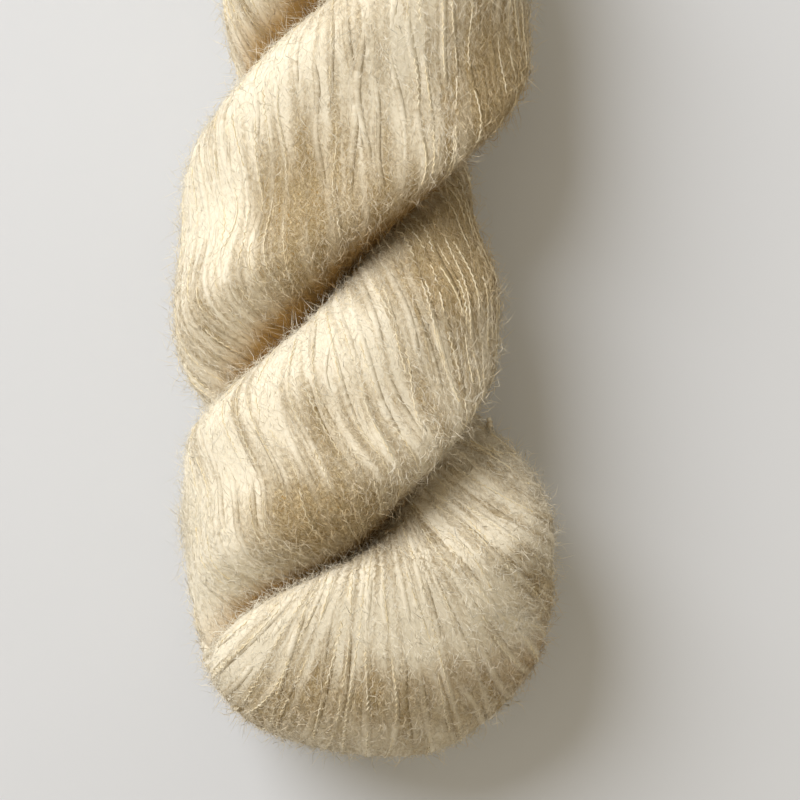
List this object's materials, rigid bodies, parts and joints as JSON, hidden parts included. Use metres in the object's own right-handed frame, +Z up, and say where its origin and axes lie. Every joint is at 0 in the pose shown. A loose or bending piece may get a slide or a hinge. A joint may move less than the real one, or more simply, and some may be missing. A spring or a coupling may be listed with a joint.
{
  "type": "twisted hank of brushed yarn",
  "caption": "Soft twisted hank of brushed cashmere yarn, doubled back on itself, with a broad round fold at one end and a short tucked nub at the other.",
  "frame": {"origin": "middle of the hank's box, on the surface that it rests on", "axes": "+Y along the hank from the fold to the nub, +X to the right as seen from above with the fold nearest, +Z up"},
  "size_m": [0.0944, 0.29, 0.0643],
  "materials": {
    "yarn": "undyed cream brushed yarn, matt and fluffy, with fine shiny binder threads"
  },
  "bodies": {
    "root": {"hank": "yarn"}
  },
  "joints": []
}
